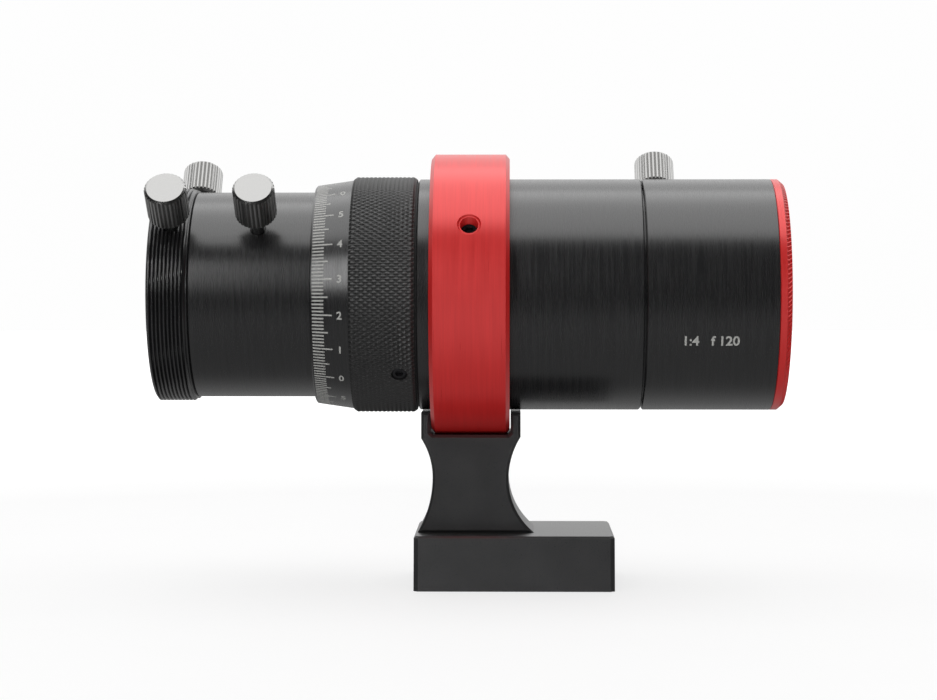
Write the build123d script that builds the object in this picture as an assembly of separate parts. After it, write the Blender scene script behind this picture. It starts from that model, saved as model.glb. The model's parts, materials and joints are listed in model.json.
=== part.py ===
from build123d import *

import os
from math import cos, pi, radians, sin, sqrt

# A 30 mm f/4 guide scope with a helical focuser, held in a ring on a finder-shoe foot.
#
# Frame: +X runs along the optical axis towards the objective, +Z is up, and the origin is
# the centre of the foot's flat underside. The camera side is at -X. All sizes are in
# millimetres. An angle round the optical axis is measured from -Y, up over +Z.

# ---- driving dimensions -------------------------------------------------------------
AXIS_Z = 57.0             # height of the optical axis above the underside of the foot

REAR_END = -70.4          # rear face of the eyepiece holder
HOLDER_FRONT = -62.5      # the holder meets the drawtube
SCALE_REAR = -39.0        # rear edge of the scale cone
GRIP_REAR = -31.6         # scale cone meets the knurled grip
GRIP_FRONT = -19.1        # front face of the knurled grip
BODY_REAR = -18.7         # rear face of the main tube
RING_REAR, RING_FRONT = -16.2, -0.9      # faces of the clamp ring
BODY_FRONT = 24.8         # front shoulder of the main tube
SHIELD_REAR, SHIELD_FRONT = 25.2, 50.4   # ends of the dew shield
FRONT_END = 52.75         # front edge of the trim ring

BODY_R = 22.8             # main tube and dew shield
BARREL_R = 20.23          # drawtube
THREAD_R = 21.0           # M42 x 0.75 male thread, crest
THREAD_ROOT_R = 20.45
THREAD_PITCH = 0.75
THREAD_CRESTS = 10
RING_R = 27.7             # clamp ring, outside
RING_BORE_R = 22.85
RING_SEAT = 27.4          # axis to the flat under the clamp ring
GRIP_R = 23.25
SCALE_R_REAR, SCALE_R_FRONT = 21.5, 22.6
NOSE_BORE_R = 15.9        # takes a 1.25 inch (31.75 mm) nosepiece

FOOT_LENGTH = 38.8
FOOT_HEIGHT = 10.5
FOOT_HALF_BOTTOM, FOOT_HALF_TOP = 17.5, 16.0
FOOT_BEVEL = 0.4
FOOT_CORNER = 0.9         # bevel of its four upright corners
POST_THICKNESS = 17.4
POST_BEVEL = 0.55
SADDLE_TOP = 33.95        # height of the two saddle cheeks
SADDLE_REAR, SADDLE_FRONT = -18.2, 1.25
BRACKET_SCREW_SPACING = 8.0

NEAR, FAR = 39.0, 129.0   # directions of the thumbscrews round the axis
CLAMP_SCREWS_AT = (29.0, 151.0)
GRIP_SCREWS_AT = (-41.5, 138.5)

FOCUS_LEAD = 10.0         # drawtube travel for one turn of the focus ring
FOCUS_SWEEP = 324.0       # how far the focus ring turns, end to end, in degrees
CAM_X = -23.0             # the cam pin and the guide key share this station at rest

GAP = 0.05                # running clearance between turned pieces


# ---- helpers ------------------------------------------------------------------------
def turned(points):
    """A solid of revolution about the optical axis from (x, radius) points."""
    face = make_face(Polyline(*[(x, r) for x, r in points], close=True))
    return Pos(0, 0, AXIS_Z) * revolve(face, Axis.X, 360)


def tube(x0, x1, inner, outer, bevel=0.0):
    """A plain tube along the optical axis, with its two outer edges bevelled."""
    return turned([
        (x0, inner), (x1, inner), (x1, outer - bevel), (x1 - bevel, outer),
        (x0 + bevel, outer), (x0, outer - bevel),
    ] if bevel else [(x0, inner), (x1, inner), (x1, outer), (x0, outer)])


def radial(x, angle):
    """Places a shape drawn along local +Z on a radius of the optical axis, at x."""
    out = Vector(0, -cos(radians(angle)), sin(radians(angle)))
    return Location(Plane(origin=(x, 0, AXIS_Z), x_dir=(1, 0, 0), z_dir=out))


def rod(radius, low, high):
    """A cylinder on local Z from low to high."""
    return Pos(0, 0, (low + high) / 2) * Cylinder(radius, high - low)


def spun(points):
    """A solid of revolution about local Z from (radius, z) points."""
    face = make_face(Polyline(*[(r, 0, z) for r, z in points], close=True))
    return revolve(face, Axis.Z, 360)


def ridged(root, crest, pitch, low, high):
    """(radius, z) points of an annular thread form from low up to high."""
    points, z = [(root, low)], low
    while z + pitch <= high + 1e-6:
        points += [(crest, z + 0.45 * pitch), (crest, z + 0.6 * pitch), (root, z + pitch)]
        z += pitch
    return points + ([(root, high)] if high - z > 1e-3 else [])


def screw_rod(root, crest, pitch, low, high):
    """A threaded rod on local Z, its thread as annular ridges."""
    return spun([(0, low)] + ridged(root, crest, pitch, low, high) + [(0, high)])


def hex_socket(across_flats, low, high):
    """The hexagonal recess of a socket screw, on local Z."""
    outline = RegularPolygon(across_flats / sqrt(3), 6)
    return Pos(0, 0, low) * extrude(outline, high - low)


# ---- bracket: foot, post and clamp ring -----------------------------------------------
M4_CLEAR_R, M4_R = 2.2, 1.95
M4_HEAD_R, M4_HEAD_HEIGHT, M4_COUNTERBORE_R = 3.5, 4.0, 3.65
BRACKET_SCREW_SEAT = 5.2
BRACKET_SCREW_LENGTH = 28.0
RING_MID = (RING_REAR + RING_FRONT) / 2
BRACKET_SCREWS_X = [RING_MID + side * BRACKET_SCREW_SPACING / 2 for side in (-1, 1)]
M4_PITCH = 0.7


def dovetail_foot():
    section = make_face(Polyline(
        (-FOOT_HALF_BOTTOM, 0), (FOOT_HALF_BOTTOM, 0),
        (FOOT_HALF_TOP, FOOT_HEIGHT), (-FOOT_HALF_TOP, FOOT_HEIGHT), close=True,
    ))
    foot = extrude(Plane.YZ.offset(-FOOT_LENGTH / 2) * section, FOOT_LENGTH)
    upright = foot.edges().filter_by(lambda edge: abs(edge.tangent_at(0).Z) > 0.9)
    foot = chamfer(upright, FOOT_CORNER)
    for face in (foot.faces().sort_by(Axis.Z)[0], foot.faces().sort_by(Axis.Z)[-1]):
        foot = chamfer(face.edges(), FOOT_BEVEL)
    for x in BRACKET_SCREWS_X:
        foot -= Pos(x, 0, 0) * rod(M4_CLEAR_R, -1, FOOT_HEIGHT + 1)
        foot -= Pos(x, 0, 0) * rod(M4_COUNTERBORE_R, -1, BRACKET_SCREW_SEAT)
    return foot


def waist_arc(waist, end):
    """An arc that leaves the waist point straight up or down and runs out to the end point."""
    across, along = end[0] - waist[0], end[1] - waist[1]
    radius = (across**2 + along**2) / (2 * abs(across))
    bow = radius - sqrt(radius**2 - (along / 2) ** 2)
    middle = (waist[0] + (bow if across > 0 else -bow), waist[1] + along / 2)
    return ThreePointArc(waist, middle, end)


def post():
    """The waisted stem. Its top is a channel that the clamp ring stands in."""
    base_rear, base_front = -18.9, 3.9
    rear_waist, front_waist = (-15.95, 21.3), (-1.1, 21.0)
    rear_foot, front_foot = (base_rear, FOOT_HEIGHT), (base_front, FOOT_HEIGHT)
    rear_lip, front_lip = (SADDLE_REAR, 28.9), (SADDLE_FRONT, 29.2)
    floor = AXIS_Z - RING_SEAT
    channel_rear, channel_front = RING_REAR - 0.2, RING_FRONT + 0.2
    corner = 0.45
    outline = [
        Line(rear_foot, front_foot),
        waist_arc(front_waist, front_foot),
        waist_arc(front_waist, front_lip),
        Line(front_lip, (SADDLE_FRONT, SADDLE_TOP)),
        Line((SADDLE_FRONT, SADDLE_TOP), (channel_front, SADDLE_TOP)),
        Line((channel_front, SADDLE_TOP), (channel_front, floor + corner)),
        Line((channel_front, floor + corner), (channel_front - corner, floor)),
        Line((channel_front - corner, floor), (channel_rear + corner, floor)),
        Line((channel_rear + corner, floor), (channel_rear, floor + corner)),
        Line((channel_rear, floor + corner), (channel_rear, SADDLE_TOP)),
        Line((channel_rear, SADDLE_TOP), (SADDLE_REAR, SADDLE_TOP)),
        Line((SADDLE_REAR, SADDLE_TOP), rear_lip),
        waist_arc(rear_waist, rear_lip),
        waist_arc(rear_waist, rear_foot),
    ]
    face = Plane.XZ.offset(-POST_THICKNESS / 2) * make_face(outline)
    stem = extrude(face, POST_THICKNESS)
    stem = chamfer(stem.faces().sort_by(Axis.Y)[0].edges(), POST_BEVEL)
    stem = chamfer(stem.faces().sort_by(Axis.Y)[-1].edges(), POST_BEVEL)
    for x in BRACKET_SCREWS_X:
        stem -= Pos(x, 0, 0) * rod(M4_CLEAR_R, 0, SADDLE_TOP)
    return stem


def tapped_hole(root, crest, pitch, low, high, mouth):
    """The cutter of a tapped hole on local Z, countersunk at its mouth."""
    thread = screw_rod(root, crest, pitch, low, high)
    sink = [(0, mouth - 0.35), (crest - 0.05, mouth - 0.35), (crest + 0.65, mouth + 0.35), (0, mouth + 0.35)]
    return thread + spun(sink)


M4_ROOT_R = 1.7
CLAMP_SCREW_TIP, CLAMP_SCREW_LOW, CLAMP_SCREW_HIGH = 22.86, 23.05, 24.75
CLAMP_THREAD_LOW, CLAMP_THREAD_HIGH = 21.65, 28.65


def clamp_ring():
    bevel_x, bevel_r = 0.75, 0.9
    ring = turned([
        (RING_REAR, RING_BORE_R + 0.4), (RING_REAR + 0.4, RING_BORE_R),
        (RING_FRONT - 0.4, RING_BORE_R), (RING_FRONT, RING_BORE_R + 0.4),
        (RING_FRONT, RING_R - bevel_r), (RING_FRONT - bevel_x, RING_R),
        (RING_REAR + bevel_x, RING_R), (RING_REAR, RING_R - bevel_r),
    ])
    ring -= Pos(RING_MID, 0, AXIS_Z - RING_SEAT - 5) * Box(40, 60, 10)
    for x in BRACKET_SCREWS_X:
        ring -= Pos(x, 0, 0) * rod(2.0, AXIS_Z - RING_SEAT - 1, AXIS_Z - RING_BORE_R + 1)
    for angle in CLAMP_SCREWS_AT:
        ring -= radial(RING_MID, angle) * tapped_hole(
            M4_ROOT_R, 2.0, M4_PITCH, CLAMP_THREAD_LOW, CLAMP_THREAD_HIGH, RING_R)
    return ring


def bracket_screws():
    screws = []
    for x in BRACKET_SCREWS_X:
        top = BRACKET_SCREW_SEAT + BRACKET_SCREW_LENGTH
        screw = rod(M4_R, BRACKET_SCREW_SEAT, top)
        screw += rod(M4_HEAD_R, BRACKET_SCREW_SEAT - M4_HEAD_HEIGHT, BRACKET_SCREW_SEAT)
        screw = chamfer(screw.edges().group_by(Axis.Z)[0], 0.4)
        screw -= hex_socket(3.0, BRACKET_SCREW_SEAT - M4_HEAD_HEIGHT - 1, BRACKET_SCREW_SEAT - 1.8)
        screws.append(Pos(x, 0, 0) * screw)
    return Compound(screws)


def clamp_set_screws():
    """Grub screws that hold the tube in the clamp ring, meshed with the ring's thread."""
    screws = []
    start = CLAMP_THREAD_LOW + 2 * M4_PITCH
    for angle in CLAMP_SCREWS_AT:
        screw = screw_rod(M4_ROOT_R - GAP, 2.0 - GAP, M4_PITCH, start, start + 2 * M4_PITCH)
        screw += rod(M4_ROOT_R - GAP, CLAMP_SCREW_LOW, CLAMP_SCREW_HIGH)
        screw -= hex_socket(2.0, CLAMP_SCREW_HIGH - 1.1, CLAMP_SCREW_HIGH + 1)
        screws.append(radial(RING_MID, angle) * screw)
    return Compound(screws)


def clamp_screw_tips():
    tips = [radial(RING_MID, a) * rod(1.4, CLAMP_SCREW_TIP, CLAMP_SCREW_LOW) for a in CLAMP_SCREWS_AT]
    return Compound(tips)


# ---- main tube and its optics -----------------------------------------------------------
NOSE_R, NOSE_FRONT = 20.9, 42.0
BODY_BORE_R = 19.0
DRAW_BORE_R = 20.6        # room for the front end of the drawtube
CAPTURE_R = 22.0          # counterbore that the flange of the helix nut turns in
CAPTURE_FLOOR = -15.0
SLEEVE_SEAT = -5.5
CELL_REAR, CELL_LIP, CELL_FRONT = 29.9, 31.1, 43.6
CELL_R, LENS_R, CLEAR_R = 18.95, 16.0, 15.0


def main_tube():
    bevel = 0.25
    return turned([
        (BODY_REAR, CAPTURE_R), (CAPTURE_FLOOR, CAPTURE_R), (CAPTURE_FLOOR, DRAW_BORE_R),
        (SLEEVE_SEAT, DRAW_BORE_R), (SLEEVE_SEAT, BODY_BORE_R), (NOSE_FRONT, BODY_BORE_R),
        (NOSE_FRONT, NOSE_R - 0.3), (NOSE_FRONT - 0.3, NOSE_R), (BODY_FRONT, NOSE_R),
        (BODY_FRONT, BODY_R - bevel), (BODY_FRONT - bevel, BODY_R),
        (BODY_REAR + bevel, BODY_R), (BODY_REAR, BODY_R - bevel),
    ])


def spanner_notches(x, inner, outer, width, depth):
    """Two slots across a ring's face, for a pin spanner."""
    slot = Pos(x - depth / 2 + 0.5, 0, AXIS_Z) * Box(depth + 1, 2 * outer + 2, width)
    return slot - tube(x - depth - 2, x + 2, 0.01, inner)


def lens_cell():
    cell = turned([
        (CELL_REAR, CLEAR_R), (CELL_LIP, CLEAR_R), (CELL_LIP, LENS_R + 0.05),
        (37.85, LENS_R + 0.05), (37.85, 17.0), (CELL_FRONT, 17.0), (CELL_FRONT, 20.5),
        (CELL_FRONT - 0.3, 20.8), (NOSE_FRONT + 0.02, 20.8), (NOSE_FRONT + 0.02, CELL_R),
        (CELL_REAR, CELL_R),
    ])
    return cell - spanner_notches(CELL_FRONT, 17.2, 21, 2.0, 0.9)


def lens_retainer():
    ring = turned([
        (37.9, CLEAR_R + 0.02), (39.6, CLEAR_R + 0.02), (40.2, CLEAR_R + 0.6),
        (40.2, 16.95), (37.9, 16.95),
    ])
    return ring - spanner_notches(40.2, 14, 17.5, 1.6, 0.8)


def bulge(x, radius, facing):
    """A lens face from the axis out to the edge: facing +1 bulges to +X, -1 to -X."""
    sag = radius - sqrt(radius**2 - LENS_R**2)
    half = radius - sqrt(radius**2 - (LENS_R / 2) ** 2)
    edge = (x - facing * sag, LENS_R)
    return ThreePointArc((x, 0), (x - facing * half, LENS_R / 2), edge), edge


def lens(rear_x, rear_radius, rear_facing, front_x, front_radius, front_facing):
    rear, rear_edge = bulge(rear_x, rear_radius, rear_facing)
    front, front_edge = bulge(front_x, front_radius, front_facing)
    outline = [rear, front, Line(rear_edge, front_edge), Line((rear_x, 0), (front_x, 0))]
    return Pos(0, 0, AXIS_Z) * revolve(make_face(outline), Axis.X, 360)


FLINT_REAR, FLINT_FRONT = 30.6, 33.1
CROWN_REAR, CROWN_FRONT = 33.42, 39.4


def flint_lens():
    return lens(FLINT_REAR, 200.0, -1, FLINT_FRONT, 55.0, -1)


def crown_lens():
    return lens(CROWN_REAR, 54.0, -1, CROWN_FRONT, 74.0, 1)


def lens_spacer():
    return tube(35.49, 35.61, CLEAR_R + 0.3, LENS_R - 0.1)


def baffle(x, opening):
    """A sprung-in stop ring with a knife edge."""
    return turned([
        (x, BODY_BORE_R - 0.05), (x + 1.6, BODY_BORE_R - 0.05), (x + 1.6, BODY_BORE_R - 1.2),
        (x + 0.25, opening), (x, opening),
    ])


# ---- focuser ------------------------------------------------------------------------------
SLEEVE_R, SLEEVE_BORE_R = 18.1, 17.0
SLEEVE_REAR = -55.0
DRAW_INNER_R = 18.2
DRAW_FRONT = -13.5
HOLDER_SPIGOT_FRONT = -59.6
NOSE_STOP_R = 14.6        # shoulder that a camera's nosepiece stops on
COMPRESSION_REAR, COMPRESSION_FRONT, COMPRESSION_GROOVE_R = -68.6, -61.2, 17.05
NUT_BORE_R, NUT_R, NUT_FLANGE_R = 20.3, 21.25, 21.9
CAM_PIN_R, CAM_FLOOR_R = 1.0, 19.4
KEY_R, KEY_SLOT_R, KEY_TOP_R = 1.2, 19.0, 18.95
STATIONS = {"nose_screw_near": (-66.0, NEAR), "nose_screw_far": (-64.1, FAR), "focus_lock": (-49.3, NEAR)}


def guide_sleeve():
    """The fixed inner tube that the drawtube slides on."""
    sleeve = turned([
        (SLEEVE_REAR, SLEEVE_BORE_R), (SLEEVE_SEAT - 0.02, SLEEVE_BORE_R),
        (SLEEVE_SEAT - 0.02, DRAW_BORE_R - GAP), (SLEEVE_SEAT - 2.5, DRAW_BORE_R - GAP),
        (SLEEVE_SEAT - 2.5, SLEEVE_R), (SLEEVE_REAR, SLEEVE_R),
    ])
    return sleeve - radial(CAM_X, -90) * rod(KEY_R + 0.02, SLEEVE_BORE_R - 1, SLEEVE_R + 1)


def guide_key():
    """A pin in the sleeve that runs in the drawtube's inner slot and stops it turning."""
    return radial(CAM_X, -90) * rod(KEY_R, SLEEVE_BORE_R + 0.1, KEY_TOP_R)


def eyepiece_holder():
    """The rear collar: a male M42 thread outside, the nosepiece bore inside."""
    thread_start = REAR_END + 0.2
    thread = [(thread_start + i * THREAD_PITCH, THREAD_R) for i in range(THREAD_CRESTS)]
    outline = [(REAR_END, NOSE_BORE_R + 0.4), (REAR_END, THREAD_ROOT_R - 0.2)]
    for x, crest in thread:
        outline += [(x, THREAD_ROOT_R), (x + 0.30 * THREAD_PITCH, crest), (x + 0.48 * THREAD_PITCH, crest)]
    relief = thread_start + THREAD_CRESTS * THREAD_PITCH
    outline += [(relief, THREAD_ROOT_R), (relief, BARREL_R - 0.15), (HOLDER_FRONT, BARREL_R - 0.15)]
    holder = turned(outline + [
        (HOLDER_FRONT, DRAW_INNER_R - 0.03), (HOLDER_SPIGOT_FRONT, DRAW_INNER_R - 0.03),
        (HOLDER_SPIGOT_FRONT, NOSE_STOP_R), (COMPRESSION_FRONT, NOSE_STOP_R),
        (COMPRESSION_FRONT, COMPRESSION_GROOVE_R), (COMPRESSION_REAR, COMPRESSION_GROOVE_R),
        (COMPRESSION_REAR, NOSE_BORE_R), (REAR_END + 0.4, NOSE_BORE_R),
    ])
    for name in ("nose_screw_near", "nose_screw_far"):
        holder -= radial(*STATIONS[name]) * rod(M3_HOLE_R, 14, 24)
    return holder


def drawtube():
    """The barrel. A helical groove outside moves it, and a slot inside stops it turning."""
    barrel = turned([
        (HOLDER_FRONT + 0.02, DRAW_INNER_R), (DRAW_FRONT, DRAW_INNER_R), (DRAW_FRONT, BARREL_R),
        (HOLDER_FRONT + 0.22, BARREL_R), (HOLDER_FRONT + 0.02, BARREL_R - 0.2),
    ])
    barrel -= radial(*STATIONS["focus_lock"]) * rod(M3_HOLE_R, 14, 24)
    travel = FOCUS_LEAD * FOCUS_SWEEP / 360 / 2
    slot = Box(2 * (travel + KEY_R + 0.3), 2 * (KEY_R + 0.1), KEY_SLOT_R - DRAW_INNER_R + 1)
    barrel -= radial(CAM_X, -90) * Pos(0, 0, (KEY_SLOT_R + DRAW_INNER_R - 1) / 2) * slot
    return barrel - cam_groove()


def cam_groove():
    """The helical groove round the drawtube that the cam pin drives."""
    sweep_turns = FOCUS_SWEEP / 360 + 0.03
    height = FOCUS_LEAD * sweep_turns
    middle_r = (BARREL_R + 0.6 + CAM_FLOOR_R) / 2
    path = Helix(pitch=FOCUS_LEAD, height=height, radius=middle_r)
    start = Plane(origin=path @ 0, x_dir=(1, 0, 0), z_dir=path % 0)
    section = start * Rectangle(BARREL_R + 0.6 - CAM_FLOOR_R, 2 * (CAM_PIN_R + 0.12))
    groove = sweep(section, path=path, is_frenet=True)
    # The helix is drawn on Z from angle 0; its middle is turned to the top of the drawtube.
    middle = 360 * sweep_turns / 2
    groove = Rot(0, 0, -middle) * Pos(0, 0, -height / 2) * groove
    return Pos(CAM_X, 0, AXIS_Z) * upright_to_axis() * groove


def upright_to_axis():
    """Turns local Z to the optical axis and local X to straight up."""
    return Location(Plane(origin=(0, 0, 0), x_dir=(0, 0, 1), z_dir=(1, 0, 0)))


def compression_ring():
    """A split brass ring that the two nosepiece screws close on the camera's nosepiece."""
    ring = tube(COMPRESSION_REAR + 0.1, COMPRESSION_FRONT - 0.1, NOSE_BORE_R, COMPRESSION_GROOVE_R - 0.1, 0.2)
    return ring - radial((COMPRESSION_REAR + COMPRESSION_FRONT) / 2, -93) * Pos(0, 0, 16.5) * Box(20, 1.5, 3)


def helix_nut():
    """The brass nut that the grip turns. Its flange is trapped in the main tube."""
    nut = turned([
        (-29.5, NUT_BORE_R), (CAPTURE_FLOOR - 0.1, NUT_BORE_R), (CAPTURE_FLOOR - 0.1, NUT_FLANGE_R),
        (CAPTURE_FLOOR - 1.4, NUT_FLANGE_R), (CAPTURE_FLOOR - 1.4, NUT_R), (-29.5, NUT_R),
    ])
    return nut - radial(CAM_X, 90) * rod(CAM_PIN_R + 0.02, 19, 23)


def cam_pin():
    return radial(CAM_X, 90) * rod(CAM_PIN_R, CAM_FLOOR_R + 0.1, NUT_R - 0.02)


def nut_retainer():
    """The threaded ring that traps the flange of the helix nut."""
    ring = tube(BODY_REAR + 0.02, CAPTURE_FLOOR - 1.5, NUT_R + GAP, CAPTURE_R - GAP)
    return ring - spanner_notches(CAPTURE_FLOOR - 1.5, 21.3, 22.5, 1.2, 0.6)


def thrust_washer():
    """A slippery washer between the grip and the main tube's rear face."""
    return tube(GRIP_FRONT + 0.02, BODY_REAR - 0.03, NUT_R + 0.1, BODY_R - 0.6)


GRIP_SCREW_X = -22.1
M3_HOLE_R, M3_R, M3_ROOT_R, M3_PITCH = 1.55, 1.47, 1.2, 0.5


def knurled_grip():
    bevel = 0.5
    grip = turned([
        (GRIP_REAR, NUT_R + 1.0), (GRIP_REAR + 4.0, NUT_R + 1.0), (GRIP_REAR + 4.0, NUT_R + 0.02),
        (GRIP_FRONT, NUT_R + 0.02), (GRIP_FRONT, GRIP_R - bevel), (GRIP_FRONT - bevel, GRIP_R),
        (GRIP_REAR + bevel, GRIP_R), (GRIP_REAR, GRIP_R - bevel),
    ])
    for angle in GRIP_SCREWS_AT:
        grip -= radial(GRIP_SCREW_X, angle) * rod(M3_HOLE_R, 20, 25)
    return grip


def grip_set_screws():
    screws = []
    for angle in GRIP_SCREWS_AT:
        screw = screw_rod(M3_ROOT_R, M3_R, M3_PITCH, NUT_R + 0.02, NUT_R + 1.52)
        screw -= hex_socket(1.5, NUT_R + 0.6, NUT_R + 2)
        screws.append(radial(GRIP_SCREW_X, angle) * screw)
    return Compound(screws)


def scale_ring():
    """The graduated cone. Its spigot goes under the grip, onto the nut."""
    return turned([
        (SCALE_REAR, BARREL_R + 0.12), (-29.55, BARREL_R + 0.12), (-29.55, NUT_R + 0.02),
        (GRIP_REAR + 3.95, NUT_R + 0.02), (GRIP_REAR + 3.95, NUT_R + 0.97),
        (GRIP_REAR - 0.02, NUT_R + 0.97), (GRIP_REAR - 0.02, SCALE_R_FRONT),
        (SCALE_REAR + 0.25, SCALE_R_REAR + 0.05), (SCALE_REAR, SCALE_R_REAR - 0.25),
    ])


# ---- thumbscrews --------------------------------------------------------------------------
HEAD_R, HEAD_HEIGHT, HEAD_STANDOFF = 4.0, 7.75, 4.3
HEAD_FLUTES, FLUTE_DEPTH = 32, 0.32
PAD_R, PAD_HEIGHT = 1.15, 0.75


def thumbscrew(seat_radius, surface_radius):
    """A fluted M3 thumbscrew on local Z. seat_radius is where its pad presses."""
    low = seat_radius + PAD_HEIGHT + 0.02
    bottom = surface_radius + HEAD_STANDOFF
    top = bottom + HEAD_HEIGHT
    step = 2 * pi / HEAD_FLUTES
    outline = []
    for i in range(HEAD_FLUTES):
        for share, radius in ((0.0, HEAD_R - FLUTE_DEPTH), (0.3, HEAD_R), (0.7, HEAD_R)):
            angle = (i + share) * step
            outline.append((radius * cos(angle), radius * sin(angle)))
    head = Pos(0, 0, bottom) * extrude(make_face(Polyline(*outline, close=True)), HEAD_HEIGHT)
    head &= spun([
        (0, bottom), (HEAD_R - 0.6, bottom), (HEAD_R + 0.1, bottom + 0.6), (HEAD_R + 0.1, top - 0.55),
        (HEAD_R - 0.5, top), (0, top),
    ])
    collar = rod(2.0, bottom - 0.5, bottom)
    return head + collar + rod(M3_R, low, bottom - 0.45)


def pressure_pad(seat_radius):
    """The nylon pad at a thumbscrew's tip. It moves in and out but doesn't turn."""
    return rod(PAD_R, seat_radius, seat_radius + PAD_HEIGHT)


SEATS = {
    "nose_screw_near": (COMPRESSION_GROOVE_R - 0.05, BARREL_R),
    "nose_screw_far": (COMPRESSION_GROOVE_R - 0.05, BARREL_R),
    "focus_lock": (SLEEVE_R + 0.03, BARREL_R),
    "shield_lock": (NOSE_R + 0.03, BODY_R),
}


# ---- dew shield ---------------------------------------------------------------------------
SHIELD_BORE_R = 21.3
SHIELD_LOCK_X = 28.8
FRONT_THREAD_R, FRONT_BORE_R = 21.25, 19.6
STATIONS["shield_lock"] = (SHIELD_LOCK_X, FAR)


def dew_shield():
    bevel = 0.2
    shield = turned([
        (SHIELD_REAR, SHIELD_BORE_R), (SHIELD_FRONT, SHIELD_BORE_R), (SHIELD_FRONT, BODY_R - 0.1),
        (SHIELD_FRONT - 0.1, BODY_R), (SHIELD_REAR + bevel, BODY_R), (SHIELD_REAR, BODY_R - bevel),
    ])
    return shield - radial(SHIELD_LOCK_X, FAR) * rod(M3_HOLE_R, 18, 25)


def shield_felt():
    """The felt band glued inside the dew shield that runs on the nose of the tube."""
    return tube(31.5, 41.0, NOSE_R + 0.03, SHIELD_BORE_R - 0.01)


def front_ring():
    """The anodised trim ring, screwed into the mouth of the dew shield."""
    return turned([
        (SHIELD_FRONT - 4.0, FRONT_BORE_R), (FRONT_END - 0.8, FRONT_BORE_R), (FRONT_END, FRONT_BORE_R + 0.8),
        (FRONT_END, 21.95), (FRONT_END - 0.75, BODY_R), (SHIELD_FRONT + 0.03, BODY_R),
        (SHIELD_FRONT + 0.03, FRONT_THREAD_R), (SHIELD_FRONT - 4.0, FRONT_THREAD_R),
    ])


# ---- write every piece ----------------------------------------------------------------------
def pieces():
    made = {
        "dovetail_foot": dovetail_foot(),
        "post": post(),
        "clamp_ring": clamp_ring(),
        "bracket_screws": bracket_screws(),
        "clamp_set_screws": clamp_set_screws(),
        "clamp_screw_tips": clamp_screw_tips(),
        "main_tube": main_tube(),
        "lens_cell": lens_cell(),
        "lens_retainer": lens_retainer(),
        "flint_lens": flint_lens(),
        "crown_lens": crown_lens(),
        "lens_spacer": lens_spacer(),
        "baffle_front": baffle(17.0, 14.2),
        "baffle_rear": baffle(2.0, 12.6),
        "guide_sleeve": guide_sleeve(),
        "guide_key": guide_key(),
        "nut_retainer": nut_retainer(),
        "drawtube": drawtube(),
        "eyepiece_holder": eyepiece_holder(),
        "compression_ring": compression_ring(),
        "helix_nut": helix_nut(),
        "cam_pin": cam_pin(),
        "thrust_washer": thrust_washer(),
        "knurled_grip": knurled_grip(),
        "grip_set_screws": grip_set_screws(),
        "scale_ring": scale_ring(),
        "dew_shield": dew_shield(),
        "shield_felt": shield_felt(),
        "front_ring": front_ring(),
    }
    for name, (x, angle) in STATIONS.items():
        seat, surface = SEATS[name]
        place = radial(x, angle)
        made[name] = place * thumbscrew(seat, surface)
        made[name + "_pad"] = place * pressure_pad(seat)
    return made


os.makedirs("parts", exist_ok=True)
for node, shape in pieces().items():
    export_step(shape, f"parts/{node}.step")
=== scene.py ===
"""The looks of a small guide scope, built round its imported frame, in metres.

The optical axis runs along X at AXIS_Z, and an angle round it is measured from -Y, up over +Z.
"""

import json
import math

import bmesh
import bpy
import numpy as np
from mathutils import Matrix, Vector


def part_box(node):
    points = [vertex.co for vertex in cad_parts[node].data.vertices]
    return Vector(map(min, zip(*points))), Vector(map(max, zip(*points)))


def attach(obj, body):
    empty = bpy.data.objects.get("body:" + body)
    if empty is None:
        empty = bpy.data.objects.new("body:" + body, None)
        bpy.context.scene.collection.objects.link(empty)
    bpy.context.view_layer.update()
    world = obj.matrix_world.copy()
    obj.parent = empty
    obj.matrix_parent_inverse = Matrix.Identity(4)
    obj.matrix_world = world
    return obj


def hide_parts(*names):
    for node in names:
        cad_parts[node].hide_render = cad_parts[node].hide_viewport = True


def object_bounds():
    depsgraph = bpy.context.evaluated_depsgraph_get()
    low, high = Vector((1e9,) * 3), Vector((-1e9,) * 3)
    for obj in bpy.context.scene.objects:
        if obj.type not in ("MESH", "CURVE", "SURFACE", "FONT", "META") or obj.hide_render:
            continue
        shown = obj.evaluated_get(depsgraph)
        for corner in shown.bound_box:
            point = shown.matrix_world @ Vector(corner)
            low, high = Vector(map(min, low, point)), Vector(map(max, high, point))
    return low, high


MM = 0.001
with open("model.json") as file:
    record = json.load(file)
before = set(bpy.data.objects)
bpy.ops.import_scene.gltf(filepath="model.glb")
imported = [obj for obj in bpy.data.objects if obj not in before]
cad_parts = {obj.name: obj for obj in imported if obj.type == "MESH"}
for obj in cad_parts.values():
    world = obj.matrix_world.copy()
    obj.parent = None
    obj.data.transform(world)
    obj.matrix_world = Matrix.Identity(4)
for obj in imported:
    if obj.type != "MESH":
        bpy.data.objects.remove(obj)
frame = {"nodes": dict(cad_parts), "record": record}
CAD_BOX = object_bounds()
JOINTS = {joint["name"]: joint for joint in frame["record"]["behaviour"]["joints"]}
AXIS_Z = JOINTS["focus_turn"]["pos_m"][2]
SCALE_REAR, GRIP_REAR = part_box("scale_ring")[0][0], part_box("knurled_grip")[0][0]

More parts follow.
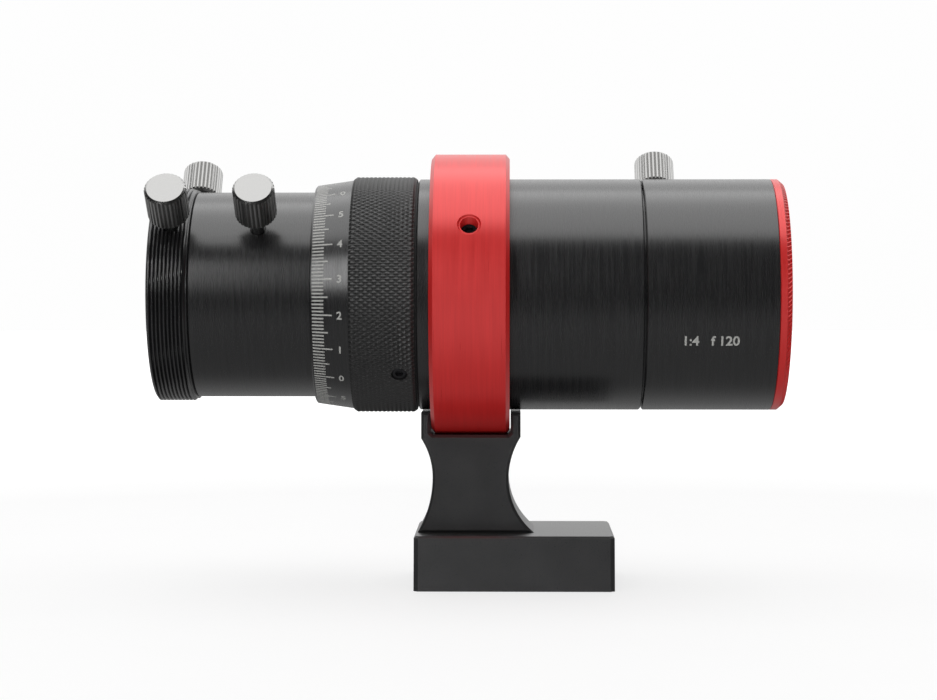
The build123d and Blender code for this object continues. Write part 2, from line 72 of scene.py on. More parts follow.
# ---- driving sizes of the looks ---------------------------------------------------------
SMOOTH_STEPS = 256          # facets round a plain turned piece
KNURL_AROUND = 140          # diamonds round the grip
KNURL_LENGTH = 1.66 * MM    # one diamond along the axis
KNURL_DEPTH = 0.32 * MM
KNURL_FLAT = 0.8            # share of a diamond's full height where its blunt tip starts
KNURL_SAMPLES = 3           # mesh cells across half a diamond
THREAD_PITCH = 0.75 * MM
THREAD_DEPTH = 0.50 * MM
COIN_RIDGES = 156           # slanted ridges round the front ring
COIN_DEPTH = 0.32 * MM
NUMBERS = 18                # numbers on the focus scale, every NUMBER_STEP degrees
NUMBER_STEP = 18.0
TICKS_PER_NUMBER = 10
DIGITS = 6                  # the numbers run 0 to 5 and start again
THREE_AT = 8.0              # where the middle 3 stands at rest, in degrees
MIDDLE_THREE = 9            # its place among the numbers
SHORT_TICK, MIDDLE_TICK, LONG_TICK = 2.25 * MM, 3.05 * MM, 3.85 * MM
TICK_WIDTH, TICK_INSET = 0.30 * MM, 0.45 * MM
DIGIT_HEIGHT, DIGIT_INSET = 1.55 * MM, 5.70 * MM
INLAY_PROUD = 0.012 * MM
FONT_DEPTH, FONT_BOLDER = 0.02, 0.022        # shares of the font's size
MARK_TEXT, MARK_HEIGHT = "1:4   f 120", 2.0 * MM
MARK_X, MARK_AT = 37.6 * MM, -22.4

THUMBSCREWS = ("nose_screw_near", "nose_screw_far", "focus_lock", "shield_lock")

# ---- camera, lights and stage, in metres and degrees ----------------------------------------
CAMERA_PLACE = (-0.5 * MM, -501 * MM, 59.9 * MM)
CAMERA_DOWN, CAMERA_LEFT = 1.59, 0.98
CAMERA_SENSOR, CAMERA_LENS = 36.0, 96.97     # millimetres, as the camera takes them
# name, place, width, depth, radiance, whether it shows in reflections
SOFTBOXES = [
    ("overhead", (0, 0, 0.62), 1.1, 0.74, 1.7, True),
    ("front_left", (-0.34, -0.82, 0.40), 0.50, 0.20, 4.0, True),
    ("fill", (0, -1.2, 0.16), 1.2, 0.3, 3.2, False),
    ("low_fill", (0, -1.0, -0.35), 1.2, 0.4, 3.2, False),
]
BACK_LIGHT, TABLE_LIGHT, DIM_LIGHT = 1.2, 0.19, 0.02
STAGE_R = 2.5               # the floor and the dome round it
FLOOR_GAP = 0.05 * MM       # keeps the floor from lying in the plane of the foot's underside
GLOW_FROM, GLOW_TO = 0.22, 0.9               # distances where the floor's glow starts and stops rising
GLOW_LOW, GLOW_HIGH = 0.74, 1.25

# ---- finishes: cells of noise to the metre --------------------------------------------------
TOOL_LINES, TOOL_BANDS = 9000.0, 1400.0
BLAST_GRAIN, BLAST_CLOUD = 9000.0, 160.0
KNURL_GRAIN, SCREW_RINGS = 5000.0, 14000.0
PLAIN_GRAIN, FELT_GRAIN, LENS_DUST = 3000.0, 8000.0, 900.0
TOOL_LINES_ROUND, TOOL_BANDS_ROUND = 2.0, 1.6     # cells to the radian

# ---- sizes shared with the frame's inner shapes, which its boxes don't give ---------------
GRIP_BORE, GRIP_SCREW_AT = 21.27 * MM, -41.5
SMALL_HOLE_R = 1.55 * MM
NOSE_BORE_R, NOSE_STOP_R, SPIGOT_R = 15.9 * MM, 14.6 * MM, 18.17 * MM
GROOVE_R, GROOVE = 17.05 * MM, (-68.6 * MM, -61.2 * MM)
FRONT_THREAD_R, FRONT_BORE_R = 21.25 * MM, 19.6 * MM
SCALE_R_REAR, SCALE_R_FRONT = 21.5 * MM, 22.6 * MM

ANODISED_IOR = 1.85          # the clear oxide skin of anodised aluminium, as glossy as it looks


# ---- node helpers -----------------------------------------------------------------------
class Nodes:
    """A short way to write a node material, or the nodes of a world."""

    def __init__(self, name, world=None):
        self.material = world or bpy.data.materials.new(name)
        self.material.use_nodes = True
        self.tree = self.material.node_tree
        self.shader = self.tree.nodes["Background" if world else "Principled BSDF"]

    def add(self, kind, **settings):
        """A new node. A setting is one of its properties or else the value of a socket."""
        node = self.tree.nodes.new(kind)
        for key, value in settings.items():
            if hasattr(node, key):
                setattr(node, key, value)
            else:
                node.inputs[key].default_value = value
        return node

    def link(self, source, target):
        self.tree.links.new(source, target)

    def maths(self, operation, first, second=None):
        """The result of a sum on numbers or sockets."""
        node = self.add("ShaderNodeMath", operation=operation)
        for socket, value in zip(node.inputs, (first, second)):
            if isinstance(value, (int, float)):
                socket.default_value = value
            elif value is not None:
                self.link(value, socket)
        return node.outputs[0]

    def position(self, space="Object"):
        return self.add("ShaderNodeTexCoord").outputs[space]

    def place(self, space="Object"):
        """The position, split into its three numbers."""
        split = self.add("ShaderNodeSeparateXYZ")
        self.link(self.position(space), split.inputs[0])
        return split.outputs

    def vector(self, x, y, z):
        """A vector joined from numbers or sockets."""
        join = self.add("ShaderNodeCombineXYZ")
        for socket, value in zip(join.inputs, (x, y, z)):
            if isinstance(value, (int, float)):
                socket.default_value = value
            else:
                self.link(value, socket)
        return join.outputs[0]

    def noise(self, vector, scale, detail=3.0, roughness=0.55):
        node = self.add("ShaderNodeTexNoise")
        node.inputs["Scale"].default_value = scale
        node.inputs["Detail"].default_value = detail
        node.inputs["Roughness"].default_value = roughness
        self.link(vector, node.inputs["Vector"])
        return node.outputs["Fac"]

    def ramp(self, value, low, high, from_low=0.3, from_high=0.7):
        """Maps a value to low..high."""
        node = self.add("ShaderNodeMapRange")
        for socket, number in zip(node.inputs[1:5], (from_low, from_high, low, high)):
            socket.default_value = number
        self.link(value, node.inputs[0])
        return node.outputs[0]

    def tint(self, factor, dark, light):
        """A colour between dark and light."""
        node = self.add("ShaderNodeMix", data_type="RGBA")
        node.inputs[6].default_value = (*dark, 1)
        node.inputs[7].default_value = (*light, 1)
        self.link(factor, node.inputs[0])
        return node.outputs[2]

    def bump(self, height, strength, distance):
        """Lets a height tilt the shader's normal."""
        node = self.add("ShaderNodeBump")
        node.inputs["Strength"].default_value = strength
        node.inputs["Distance"].default_value = distance
        self.link(height, node.inputs["Height"])
        self.link(node.outputs[0], self.shader.inputs["Normal"])

    def edge_wear(self, radius=0.25 * MM):
        """1 on sharp outer edges, 0 on flats."""
        bevel = self.add("ShaderNodeBevel", samples=4)
        bevel.inputs["Radius"].default_value = radius
        geometry = self.add("ShaderNodeNewGeometry")
        dot = self.add("ShaderNodeVectorMath", operation="DOT_PRODUCT")
        self.link(bevel.outputs[0], dot.inputs[0])
        self.link(geometry.outputs["Normal"], dot.inputs[1])
        return self.ramp(dot.outputs["Value"], 1.0, 0.0, 0.80, 0.97)

    def set(self, **values):
        """Sets constants directly on the shader's sockets."""
        for key, value in values.items():
            self.shader.inputs[key.replace("_", " ")].default_value = value


def turning_lines(nodes):
    """Fine lines left by turning: they run round the optical axis and vary slowly along it."""
    x, y, z = nodes.place()
    height = nodes.maths("SUBTRACT", z, AXIS_Z)
    angle = nodes.maths("ARCTAN2", height, nodes.maths("MULTIPLY", y, -1.0))
    line = nodes.maths("MULTIPLY", x, TOOL_LINES)
    line_round = nodes.maths("MULTIPLY", angle, TOOL_LINES_ROUND)
    fine = nodes.noise(nodes.vector(line, line_round, 0.0), 1.0, 4.0)
    band = nodes.maths("MULTIPLY", x, TOOL_BANDS)
    band_round = nodes.maths("MULTIPLY", angle, TOOL_BANDS_ROUND)
    wide = nodes.noise(nodes.vector(band, band_round, 5.0), 1.0, 2.0)
    return fine, wide


# ---- materials --------------------------------------------------------------------------
def turned_anodised(name, dark, light, roughness, **more):
    """Anodised aluminium with the lines of turning in its colour, gloss and surface."""
    nodes = Nodes(name)
    fine, wide = turning_lines(nodes)
    both = nodes.maths("MULTIPLY", nodes.maths("ADD", fine, wide), 0.5)
    colour = nodes.tint(nodes.ramp(both, 0.0, 1.0, 0.38, 0.62), dark, light)
    nodes.link(colour, nodes.shader.inputs["Base Color"])
    nodes.link(nodes.ramp(both, roughness - 0.03, roughness + 0.05), nodes.shader.inputs["Roughness"])
    nodes.bump(fine, 0.06, 0.02 * MM)
    nodes.set(**more)
    return nodes.material


def tube_black():
    dark, light = (0.008, 0.008, 0.0085), (0.013, 0.013, 0.0135)
    return turned_anodised("tube_black", dark, light, 0.26, IOR=ANODISED_IOR)


def ring_red():
    dark, light = (0.66, 0.020, 0.020), (0.74, 0.027, 0.026)
    return turned_anodised("ring_red", dark, light, 0.30, IOR=ANODISED_IOR, Metallic=0.3)


def blasted_black():
    """Bead-blasted black anodising, slightly worn to grey on its edges."""
    nodes = Nodes("foot_black")
    place = nodes.position()
    grain = nodes.noise(place, BLAST_GRAIN, 2.0)
    cloud = nodes.noise(place, BLAST_CLOUD, 3.0)
    body = nodes.tint(nodes.ramp(cloud, 0.0, 1.0), (0.022, 0.022, 0.023), (0.030, 0.030, 0.031))
    worn = nodes.add("ShaderNodeMix", data_type="RGBA")
    worn.inputs[7].default_value = (0.08, 0.08, 0.08, 1)
    nodes.link(nodes.edge_wear(), worn.inputs[0])
    nodes.link(body, worn.inputs[6])
    nodes.link(worn.outputs[2], nodes.shader.inputs["Base Color"])
    nodes.link(nodes.ramp(grain, 0.27, 0.36), nodes.shader.inputs["Roughness"])
    nodes.bump(grain, 0.08, 0.03 * MM)
    nodes.set(IOR=ANODISED_IOR)
    return nodes.material


def knurl_black():
    """Black anodising, duller than the tubes'."""
    nodes = Nodes("knurl_black")
    grain = nodes.noise(nodes.position(), KNURL_GRAIN, 2.0)
    colour = nodes.tint(nodes.ramp(grain, 0.0, 1.0), (0.012, 0.012, 0.012), (0.020, 0.020, 0.020))
    nodes.link(colour, nodes.shader.inputs["Base Color"])
    nodes.link(nodes.ramp(grain, 0.38, 0.50), nodes.shader.inputs["Roughness"])
    nodes.bump(grain, 0.10, 0.02 * MM)
    nodes.set(IOR=ANODISED_IOR)
    return nodes.material


def bright_screw(name, centre, out):
    """Turned stainless steel: fine rings round the screw's own axis."""
    nodes = Nodes(name)
    shifted = nodes.add("ShaderNodeVectorMath", operation="SUBTRACT")
    nodes.link(nodes.position(), shifted.inputs[0])
    shifted.inputs[1].default_value = centre
    along = nodes.add("ShaderNodeVectorMath", operation="DOT_PRODUCT")
    nodes.link(shifted.outputs[0], along.inputs[0])
    along.inputs[1].default_value = out
    length = nodes.add("ShaderNodeVectorMath", operation="LENGTH")
    nodes.link(shifted.outputs[0], length.inputs[0])
    length_squared = nodes.maths("POWER", length.outputs["Value"], 2.0)
    along_squared = nodes.maths("POWER", nodes.maths("ABSOLUTE", along.outputs["Value"]), 2.0)
    radius_squared = nodes.maths("MAXIMUM", nodes.maths("SUBTRACT", length_squared, along_squared), 0.0)
    radius = nodes.maths("SQRT", radius_squared)
    ring = nodes.maths("MULTIPLY", radius, SCREW_RINGS)
    rings = nodes.noise(nodes.vector(ring, 0.0, 0.0), 1.0, 3.0)
    colour = nodes.tint(nodes.ramp(rings, 0.0, 1.0), (0.39, 0.388, 0.382), (0.43, 0.428, 0.422))
    nodes.link(colour, nodes.shader.inputs["Base Color"])
    nodes.link(nodes.ramp(rings, 0.24, 0.30), nodes.shader.inputs["Roughness"])
    nodes.bump(rings, 0.06, 0.01 * MM)
    nodes.set(Metallic=1.0)
    return nodes.material


def plain_grained(name, dark, light, roughness, metallic=0.0, grain_scale=PLAIN_GRAIN):
    """A finish with a fine even grain."""
    nodes = Nodes(name)
    grain = nodes.noise(nodes.position(), grain_scale, 3.0)
    nodes.link(nodes.tint(nodes.ramp(grain, 0.0, 1.0), dark, light), nodes.shader.inputs["Base Color"])
    nodes.link(nodes.ramp(grain, roughness - 0.05, roughness + 0.07), nodes.shader.inputs["Roughness"])
    nodes.bump(grain, 0.12, 0.02 * MM)
    nodes.set(Metallic=metallic)
    return nodes.material


def coated_glass():
    """Glass with a green coating that turns violet at a slant, and a trace of dust."""
    nodes = Nodes("coated_glass")
    dust = nodes.noise(nodes.position(), LENS_DUST, 4.0)
    facing = nodes.add("ShaderNodeLayerWeight")
    facing.inputs["Blend"].default_value = 0.35
    colour = nodes.tint(facing.outputs["Facing"], (0.82, 0.93, 0.88), (0.60, 0.50, 0.86))
    nodes.link(colour, nodes.shader.inputs["Base Color"])
    nodes.link(nodes.ramp(dust, 0.01, 0.05), nodes.shader.inputs["Roughness"])
    nodes.set(Transmission_Weight=1.0, IOR=1.5, Specular_Tint=(0.55, 0.85, 0.65, 1.0))
    return nodes.material


# ---- mesh helpers -----------------------------------------------------------------------
def span(node):
    """(rear x, front x, outer radius) of a piece turned about the optical axis."""
    low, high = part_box(node)
    return low[0], high[0], (high[1] - low[1]) / 2


def new_piece(name, mesh, material, body):
    """A piece of the visual model that rides on a body."""
    piece = bpy.data.objects.new(name, mesh)
    bpy.context.scene.collection.objects.link(piece)
    mesh.materials.append(material)
    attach(piece, body)
    return piece


def lathe_mesh(name, profile, steps, radii):
    """A ring-shaped mesh. profile is a closed loop of (x, r); radii gives r for (angles, points)."""
    x = np.array([point[0] for point in profile])
    r = np.array([point[1] for point in profile])
    angle = np.arange(steps) * 2 * np.pi / steps
    radius = radii(angle[:, None], x[None, :], r[None, :]) + np.zeros((steps, len(x)))
    verts = np.stack([
        np.broadcast_to(x, radius.shape),
        -radius * np.cos(angle)[:, None],
        AXIS_Z + radius * np.sin(angle)[:, None],
    ], axis=-1).reshape(-1, 3)
    count = len(x)
    i, j = np.meshgrid(np.arange(steps), np.arange(count), indexing="ij")
    i_next, j_next = (i + 1) % steps, (j + 1) % count
    corners = [i * count + j, i * count + j_next, i_next * count + j_next, i_next * count + j]
    faces = np.stack(corners, axis=-1)
    mesh = bpy.data.meshes.new(name)
    mesh.from_pydata(verts.tolist(), [], faces.reshape(-1, 4).tolist())
    tidy(mesh)
    return mesh


def tidy(mesh):
    """Makes every face look outwards."""
    work = bmesh.new()
    work.from_mesh(mesh)
    bmesh.ops.recalc_face_normals(work, faces=work.faces)
    work.to_mesh(mesh)
    work.free()


def smooth(mesh, angle):
    """Shades a mesh smooth but for edges sharper than the angle."""
    mesh.polygons.foreach_set("use_smooth", [True] * len(mesh.polygons))
    mesh.set_sharp_from_angle(angle=math.radians(angle))


def between(start, end, count):
    """count points from start up to, but not including, end."""
    start, end = np.array(start), np.array(end)
    return [tuple(start + (end - start) * k / count) for k in range(count)]


def closed_loop(*legs):
    """Joins (start, cells) legs into one loop of points."""
    points = []
    for (start, cells), (end, _) in zip(legs, legs[1:] + legs[:1]):
        points += between(start, end, cells)
    return points


def triangle(wave):
    """0 at whole numbers and 1 half way between them."""
    part = wave - np.floor(wave)
    return 1 - np.abs(2 * part - 1)


def direction(angle):
    """The outward unit vector at an angle round the optical axis."""
    return Vector((0, -math.cos(math.radians(angle)), math.sin(math.radians(angle))))


def drill(piece, x, angle, radius, low, high):
    """Cuts a round hole on a radius of the optical axis."""
    out = direction(angle)
    bpy.ops.mesh.primitive_cylinder_add(vertices=40, radius=radius, depth=high - low)
    tool = bpy.context.object
    middle = Vector((x, 0, AXIS_Z)) + out * (low + high) / 2
    tool.matrix_world = Matrix.Translation(middle) @ out.to_track_quat("Z", "X").to_matrix().to_4x4()
    cut = piece.modifiers.new("hole", "BOOLEAN")
    cut.operation = "DIFFERENCE"
    cut.solver = "MANIFOLD"
    cut.object = tool
    with bpy.context.temp_override(object=piece, active_object=piece, selected_objects=[piece]):
        bpy.ops.object.modifier_apply(modifier=cut.name)
    bpy.data.objects.remove(tool)


def screw_place(node):
    """(x, angle round the axis in degrees) of a radial screw, from its CAD box."""
    low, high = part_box(node)
    middle = (Vector(low) + Vector(high)) / 2
    return middle.x, math.degrees(math.atan2(middle.z - AXIS_Z, -middle.y))


# ---- pieces ------------------------------------------------------------------------------
def grip_screws():
    """(x, angle) of the two set screws in the grip, opposite each other."""
    low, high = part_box("grip_set_screws")
    x = (low[0] + high[0]) / 2
    return [(x, GRIP_SCREW_AT), (x, GRIP_SCREW_AT + 180)]


def knurled_grip(material):
    """The grip with a real diamond knurl: two families of V grooves and blunt tips."""
    rear, front, outer = span("knurled_grip")
    bevel = 0.5 * MM
    cells = int(round((front - rear - 2 * bevel) / (KNURL_LENGTH / 2))) * KNURL_SAMPLES
    profile = closed_loop(
        ((rear, GRIP_BORE), 1), ((rear, outer - bevel), 4), ((rear + bevel, outer), cells),
        ((front - bevel, outer), 4), ((front, outer - bevel), 1), ((front, GRIP_BORE), 2),
    )

    def radii(angle, x, r):
        turn = angle * KNURL_AROUND / (2 * np.pi)
        along = (x - rear) / KNURL_LENGTH
        height = np.minimum(triangle(turn + along), triangle(turn - along))
        height = np.minimum(height / KNURL_FLAT, 1.0)
        cut = r > outer - 0.8 * bevel
        return np.where(cut, r - KNURL_DEPTH * (1 - height), r)

    mesh = lathe_mesh("grip_knurl", profile, KNURL_AROUND * 2 * KNURL_SAMPLES, radii)
    piece = new_piece("grip_knurl", mesh, material, "focus_ring")
    for x, angle in grip_screws():
        drill(piece, x, angle, SMALL_HOLE_R, GRIP_BORE - 1 * MM, outer + 2 * MM)
    smooth(piece.data, 20)
    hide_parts("knurled_grip")


def camera_thread(material):
    """The eyepiece holder with a true helical male thread."""
    rear, spigot_front, crest = span("eyepiece_holder")
    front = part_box("drawtube")[0][0]
    start, end = rear + 0.35 * MM, front - 0.15 * MM
    cells = int(round((end - start) / THREAD_PITCH * 8))
    profile = closed_loop(
        ((rear, NOSE_BORE_R + 0.4 * MM), 1), ((rear, crest - 0.5 * MM), 3), ((start, crest), cells),
        ((end, crest), 3), ((front, crest - 0.9 * MM), 1), ((front, SPIGOT_R), 1),
        ((spigot_front, SPIGOT_R), 1), ((spigot_front, NOSE_STOP_R), 1),
        ((GROOVE[1], NOSE_STOP_R), 1), ((GROOVE[1], GROOVE_R), 1),
        ((GROOVE[0], GROOVE_R), 1), ((GROOVE[0], NOSE_BORE_R), 1), ((rear + 0.4 * MM, NOSE_BORE_R), 1),
    )

    def radii(angle, x, r):
        wave = triangle((x - rear - 0.1 * MM) / THREAD_PITCH - angle / (2 * np.pi))
        height = np.clip((wave - 0.08) / 0.5, 0, 1)
        fade = np.clip((end - x) / THREAD_PITCH, 0, 1)
        cut = np.clip((r - (crest - 0.35 * MM)) / (0.35 * MM), 0, 1)
        return r - THREAD_DEPTH * cut * (1 - height * fade)

    mesh = lathe_mesh("camera_thread", profile, SMOOTH_STEPS, radii)
    piece = new_piece("camera_thread", mesh, material, "drawtube")
    for node in ("nose_screw_near", "nose_screw_far"):
        x, angle = screw_place(node)
        drill(piece, x, angle, SMALL_HOLE_R, NOSE_BORE_R - 1 * MM, crest + 2 * MM)
    smooth(piece.data, 28)
    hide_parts("eyepiece_holder")


def coin_edge_ring(material):
    """The red trim ring, its bevel cut with fine slanted ridges."""
    rear, front, outer = span("front_ring")
    band_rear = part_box("dew_shield")[1][0] + 0.03 * MM
    thread_r, bore = FRONT_THREAD_R, FRONT_BORE_R
    bevel_x, bevel_r = 1.0 * MM, 0.85 * MM
    profile = closed_loop(
        ((rear, bore), 1), ((rear, thread_r), 1), ((band_rear, thread_r), 1),
        ((band_rear, outer - 0.12 * MM), 1), ((band_rear + 0.12 * MM, outer), 2),
        ((front - bevel_x, outer), 8), ((front, outer - bevel_r), 2),
        ((front, bore + 0.8 * MM), 2), ((front - 0.8 * MM, bore), 4),
    )

    def radii(angle, x, r):
        along = (x - (front - bevel_x)) / bevel_x
        ridge = triangle(angle * COIN_RIDGES / (2 * np.pi) - along)
        fade = np.clip(along / 0.18, 0, 1) * (r > outer - 0.95 * bevel_r)
        return r - COIN_DEPTH * np.clip(1.35 * ridge - 0.35, 0, 1) * fade

    mesh = lathe_mesh("trim_ring", profile, COIN_RIDGES * 8, radii)
    piece = new_piece("trim_ring", mesh, material, "dew_shield")
    smooth(piece.data, 30)
    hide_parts("front_ring")


# ---- scale marks --------------------------------------------------------------------------
def cone_radius(x):
    """Radius of the scale cone at x, on its long straight flank."""
    share = (x - SCALE_REAR) / (GRIP_REAR - SCALE_REAR)
    return SCALE_R_REAR + (SCALE_R_FRONT - SCALE_R_REAR) * share


def number_angle(index):
    """Where a number of the scale stands, in degrees round the axis."""
    return THREE_AT + (index - MIDDLE_THREE) * NUMBER_STEP


def on_axis(x, radius, angle):
    """The point at x and a radius from the optical axis, with the angle in radians."""
    return (x, -radius * math.cos(angle), AXIS_Z + radius * math.sin(angle))


# The corners of a bar come in the order rear and front, low and high, one side and the other.
BAR_FACES = [(0, 1, 3, 2), (4, 5, 7, 6), (0, 1, 5, 4), (2, 3, 7, 6), (0, 2, 6, 4), (1, 3, 7, 5)]


def scale_ticks(material):
    """Every tick as a thin inlaid bar along the cone."""
    step = math.radians(NUMBER_STEP / TICKS_PER_NUMBER)
    verts, faces = [], []
    for tick in range(NUMBERS * TICKS_PER_NUMBER + 1):
        place = tick % TICKS_PER_NUMBER
        length = {0: LONG_TICK, TICKS_PER_NUMBER // 2: MIDDLE_TICK}.get(place, SHORT_TICK)
        angle = math.radians(number_angle(0)) + tick * step
        base = len(verts)
        for x in (SCALE_REAR + TICK_INSET, SCALE_REAR + TICK_INSET + length):
            half = TICK_WIDTH / 2 / cone_radius(x)
            for lift in (-0.06 * MM, INLAY_PROUD):
                for side in (-half, half):
                    verts.append(on_axis(x, cone_radius(x) + lift, angle + side))
        faces += [[base + k for k in face] for face in BAR_FACES]
    mesh = bpy.data.meshes.new("scale_ticks")
    mesh.from_pydata(verts, [], faces)
    tidy(mesh)
    new_piece("scale_ticks", mesh, material, "focus_ring")


def lettering(text, height):
    """Points and faces of a flat inlay: text centred on the origin, with a little depth."""
    curve = bpy.data.curves.new("lettering", "FONT")
    curve.body = text
    curve.align_x = "CENTER"
    curve.resolution_u = 5
    curve.extrude = FONT_DEPTH
    curve.offset = FONT_BOLDER
    holder = bpy.data.objects.new("lettering", curve)
    bpy.context.scene.collection.objects.link(holder)
    mesh = bpy.data.meshes.new_from_object(holder.evaluated_get(bpy.context.evaluated_depsgraph_get()))
    work = bmesh.new()
    work.from_mesh(mesh)
    bmesh.ops.remove_doubles(work, verts=work.verts, dist=1e-5)
    for level in np.linspace(-0.2, 0.8, 11):
        parts = list(work.verts) + list(work.edges) + list(work.faces)
        bmesh.ops.bisect_plane(work, geom=parts, plane_co=(0, level, 0), plane_no=(0, 1, 0))
    points = np.array([v.co for v in work.verts])
    faces = [[v.index for v in face.verts] for face in work.faces]
    work.free()
    low, high = points.min(axis=0), points.max(axis=0)
    points = (points - (low + high) / 2) * height / (high[1] - low[1])
    bpy.data.objects.remove(holder)
    bpy.data.curves.remove(curve)
    bpy.data.meshes.remove(mesh)
    return points, faces


def wrapped_text(text, height, x, angle, radius_at):
    """Lettering laid on a turned surface, reading along the axis, as points and faces."""
    points, faces = lettering(text, height)
    laid = []
    for across, up, out in points:
        radius = radius_at(x + across)
        lift = INLAY_PROUD if out > 0 else INLAY_PROUD - 0.08 * MM
        laid.append(on_axis(x + across, radius + lift, math.radians(angle) + up / radius))
    return laid, faces


def inlay(name, texts, material, body):
    """One piece of inlaid lettering from several wrapped texts."""
    verts, faces = [], []
    for points, polygons in texts:
        faces += [[len(verts) + k for k in polygon] for polygon in polygons]
        verts += points
    mesh = bpy.data.meshes.new(name)
    mesh.from_pydata(verts, [], faces)
    tidy(mesh)
    new_piece(name, mesh, material, body)


def scale_numbers(material):
    x = SCALE_REAR + DIGIT_INSET
    texts = []
    for number in range(NUMBERS):
        digit = str(number % DIGITS)
        texts.append(wrapped_text(digit, DIGIT_HEIGHT, x, number_angle(number), cone_radius))
    inlay("scale_numbers", texts, material, "focus_ring")


def optical_mark(material):
    """Focal ratio and focal length on the dew shield."""
    radius = span("dew_shield")[2]
    text = wrapped_text(MARK_TEXT, MARK_HEIGHT, MARK_X, MARK_AT, lambda x: radius)
    inlay("optical_mark", [text], material, "dew_shield")


# ---- finishes of the frame's own nodes ------------------------------------------------------
def soften(node, width=0.12 * MM):
    """Rounds a node's sharp edges a little with a modifier."""
    bevel = frame["nodes"][node].modifiers.new("soft_edges", "BEVEL")
    bevel.width = width
    bevel.segments = 2
    bevel.limit_method = "ANGLE"
    bevel.angle_limit = math.radians(40)
    bevel.harden_normals = True


def paint(material, *nodes):
    for node in nodes:
        mesh = frame["nodes"][node].data
        mesh.materials.clear()
        mesh.materials.append(material)


def finish_frame(black, red):
    """Gives each of the frame's own nodes its finish."""
    foot = blasted_black()
    inner = plain_grained("inner_black", (0.006, 0.006, 0.006), (0.012, 0.012, 0.012), 0.6)
    nylon = plain_grained("nylon", (0.70, 0.68, 0.60), (0.80, 0.78, 0.70), 0.5)
    brass = plain_grained("brass", (0.62, 0.42, 0.16), (0.74, 0.53, 0.22), 0.3, 1.0)
    oxide = plain_grained("oxide_black", (0.02, 0.02, 0.022), (0.04, 0.04, 0.043), 0.38, 0.6)
    paint(foot, "dovetail_foot", "post")
    paint(red, "clamp_ring")
    paint(black, "main_tube", "dew_shield", "drawtube", "scale_ring")
    paint(inner, "lens_cell", "lens_retainer", "lens_spacer", "baffle_front", "baffle_rear")
    paint(inner, "guide_sleeve", "nut_retainer", "thrust_washer")
    paint(coated_glass(), "flint_lens", "crown_lens")
    paint(oxide, "bracket_screws", "clamp_set_screws", "grip_set_screws", "guide_key", "cam_pin")
    paint(brass, "compression_ring", "helix_nut")
    paint(nylon, "clamp_screw_tips", *[name + "_pad" for name in THUMBSCREWS])
    felt = plain_grained("felt", (0.01, 0.01, 0.01), (0.03, 0.03, 0.03), 0.9, 0.0, FELT_GRAIN)
    paint(felt, "shield_felt")
    for name in THUMBSCREWS:
        joint = JOINTS[name + "_turn"]
        paint(bright_screw(name + "_steel", joint["pos_m"], joint["axis"]), name)
        soften(name, 0.05 * MM)
    soften("dovetail_foot")
    soften("post")
    soften("clamp_ring", 0.08 * MM)


# ---- stage ------------------------------------------------------------------------------------
def camera():
    """Half a metre in front, aimed a degree to the left and a little down."""
    data = bpy.data.cameras.new("camera")
    data.sensor_width = CAMERA_SENSOR
    data.lens = CAMERA_LENS
    data.clip_start = 0.01
    cam = bpy.data.objects.new("camera", data)
    cam.location = CAMERA_PLACE
    cam.rotation_euler = (math.radians(90 - CAMERA_DOWN), 0, math.radians(CAMERA_LEFT))
    bpy.context.scene.collection.objects.link(cam)
    bpy.context.scene.camera = cam


def softbox(name, place, width, depth, radiance, mirrored):
    """A rectangular light aimed at the tube."""
    data = bpy.data.lights.new(name, "AREA")
    data.shape = "RECTANGLE"
    data.size = width
    data.size_y = depth
    data.energy = radiance * math.pi * width * depth
    light = bpy.data.objects.new(name, data)
    light.location = place
    light.rotation_mode = "QUATERNION"
    light.rotation_quaternion = (Vector(place) - Vector((0, 0, AXIS_Z))).to_track_quat("Z", "X")
    light.visible_glossy = mirrored
    bpy.context.scene.collection.objects.link(light)


def studio():
    """Bright behind and overhead, dim in front, with a little light back up from the table."""
    world = bpy.data.worlds.new("studio")
    bpy.context.scene.world = world
    nodes = Nodes("studio", world)
    toward = nodes.place("Generated")
    table = nodes.ramp(toward["Z"], TABLE_LIGHT, DIM_LIGHT, -0.45, -0.10)
    back = nodes.ramp(toward["Y"], 0.0, BACK_LIGHT, 0.2, 0.6)
    above = nodes.ramp(toward["Z"], 0.15, 1.0, -0.2, 0.4)
    both = nodes.maths("ADD", table, nodes.maths("MULTIPLY", back, above))
    nodes.link(both, nodes.shader.inputs["Strength"])
    nodes.set(Color=(1, 1, 1, 1))
    for light in SOFTBOXES:
        softbox(*light)


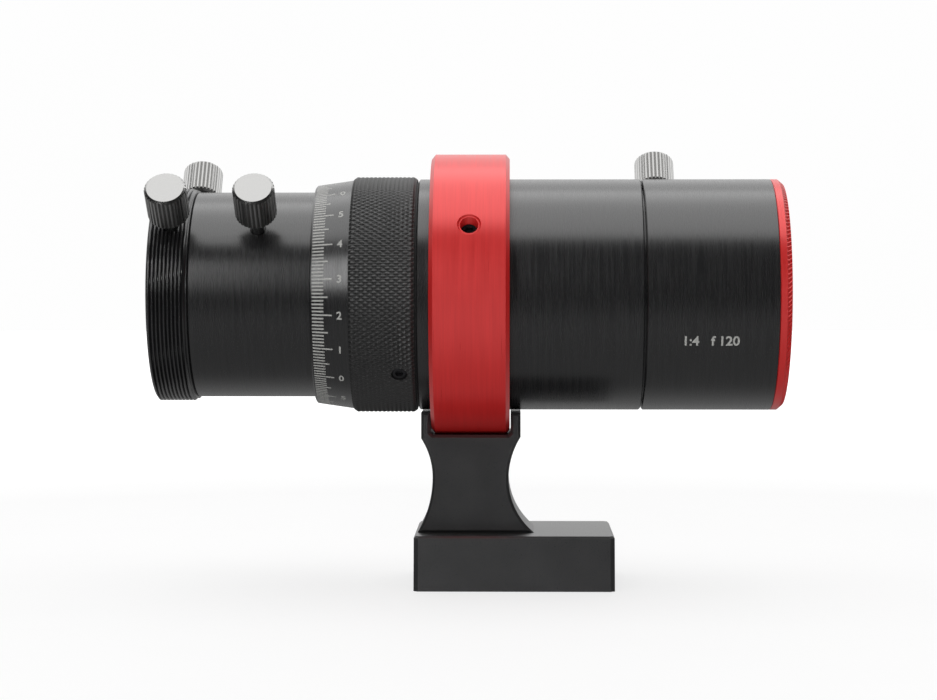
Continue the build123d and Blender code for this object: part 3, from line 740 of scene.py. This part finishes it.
def only_seen_by(thing, *rays):
    """Keeps a stage piece out of the object's reflections and bounced light."""
    for ray in ("camera", "diffuse", "glossy", "transmission", "shadow"):
        setattr(thing, "visible_" + ray, ray in rays)


def floor():
    """A pale floor whose own glow rises with distance, so that it stays white far from the lights."""
    under_foot = (0, 0, CAD_BOX[0][2] - FLOOR_GAP)
    bpy.ops.mesh.primitive_circle_add(
        vertices=96, radius=STAGE_R, fill_type="NGON", location=under_foot)
    ground = bpy.context.object
    ground.name = "floor"
    nodes = Nodes("floor")
    place = nodes.position()
    colour = nodes.tint(nodes.noise(place, 40.0), (0.20, 0.20, 0.20), (0.21, 0.21, 0.21))
    nodes.link(colour, nodes.shader.inputs["Base Color"])
    distance = nodes.add("ShaderNodeVectorMath", operation="LENGTH")
    nodes.link(place, distance.inputs[0])
    glow = nodes.ramp(distance.outputs["Value"], GLOW_LOW, GLOW_HIGH, GLOW_FROM, GLOW_TO)
    nodes.link(glow, nodes.shader.inputs["Emission Strength"])
    nodes.set(Roughness=0.8, Emission_Color=(1, 1, 1, 1), Specular_IOR_Level=0.1)
    ground.data.materials.append(nodes.material)
    only_seen_by(ground, "camera", "transmission")


def backdrop():
    """A white dome behind everything, seen only directly."""
    bpy.ops.mesh.primitive_uv_sphere_add(segments=64, ring_count=32, radius=STAGE_R)
    dome = bpy.context.object
    dome.name = "backdrop"
    nodes = Nodes("backdrop")
    glow = nodes.ramp(nodes.noise(nodes.position(), 1.0), 0.985, 0.995)
    nodes.link(glow, nodes.shader.inputs["Emission Strength"])
    nodes.set(Base_Color=(0, 0, 0, 1), Emission_Color=(1, 1, 1, 1), Specular_IOR_Level=0.0)
    dome.data.materials.append(nodes.material)
    only_seen_by(dome, "camera", "transmission")


def main():
    bpy.context.scene.view_settings.view_transform = "Standard"
    camera()
    studio()
    floor()
    backdrop()
    black, red = tube_black(), ring_red()
    finish_frame(black, red)
    knurled_grip(knurl_black())
    camera_thread(black)
    coin_edge_ring(red)
    inlay_white = plain_grained("inlay_white", (0.36, 0.36, 0.345), (0.44, 0.44, 0.42), 0.55)
    scale_ticks(inlay_white)
    scale_numbers(inlay_white)
    optical_mark(inlay_white)


main()
